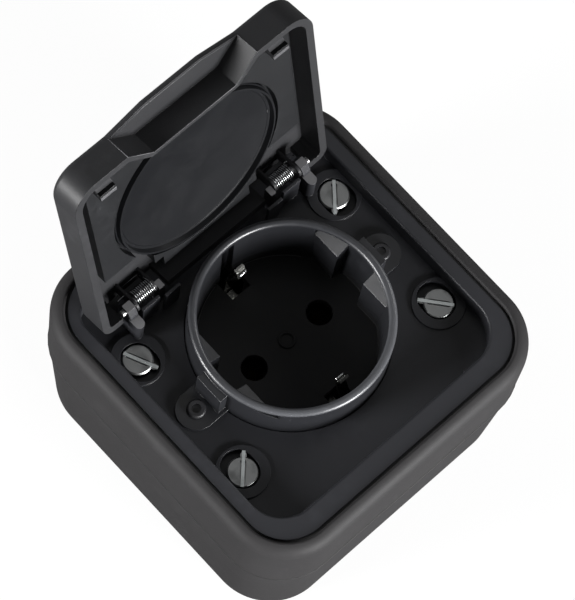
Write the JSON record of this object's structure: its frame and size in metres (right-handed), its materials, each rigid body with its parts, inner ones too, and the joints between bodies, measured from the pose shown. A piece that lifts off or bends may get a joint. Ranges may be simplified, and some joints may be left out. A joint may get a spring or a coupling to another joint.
{
  "type": "surface-mounted power socket",
  "caption": "Surface-mounted splash-proof earthed power socket: drafted box, cover frame, sunk front plate, round cup and a sprung hinged lid standing open.",
  "frame": {"origin": "middle of the flat back face that lies on the wall", "axes": "+Z out of the wall, +X along the lid hinge, +Y towards the hinge side and the cable entry"},
  "size_m": [0.0796, 0.0833, 0.1008],
  "materials": {
    "case": "fine-grained matt warm dark grey",
    "plate": "smooth matt cool dark grey",
    "cup": "satin dark grey with a polished rim",
    "block": "plain moulded black",
    "lid": "satin dark grey",
    "lid_inner": "satin dark grey",
    "seal_rubber": "soft black",
    "grommet_rubber": "soft black",
    "disc_rubber": "smooth dark grey",
    "zinc": "bright zinc, lightly scratched",
    "lug_screw": "blackened",
    "brass": "plain",
    "earth": "nickelled",
    "pin_steel": "bright drawn",
    "spring_steel": "bright drawn"
  },
  "bodies": {
    "housing": {"base_box": "case", "box_seal": "seal_rubber", "cable_grommet": "grommet_rubber", "cover_frame": "case", "frame_seal": "seal_rubber", "front_plate": "plate", "socket_cup": "cup", "cover_screw_back_left": "zinc", "cover_screw_front_left": "zinc", "cover_screw_back_right": "zinc", "cover_screw_front_right": "zinc", "cup_screw_left": "lug_screw", "cup_screw_right": "lug_screw", "contact_block": "block", "left_contact": "brass", "right_contact": "brass", "left_terminal_screw": "zinc", "right_terminal_screw": "zinc", "earth_strip": "earth"},
    "lid": {"lid_shell": "lid", "lid_liner": "lid_inner", "lid_seal": "disc_rubber", "hinge_pin_left": "pin_steel", "hinge_pin_right": "pin_steel", "hinge_spring_left": "spring_steel", "hinge_spring_right": "spring_steel"}
  },
  "joints": [
    {"name": "lid_hinge", "type": "hinge", "parent": "housing", "child": "lid", "pos_m": [0, 0.0241, 0.0484], "axis": [-1, 0, 0], "range_deg": [-102.7, 0]}
  ]
}
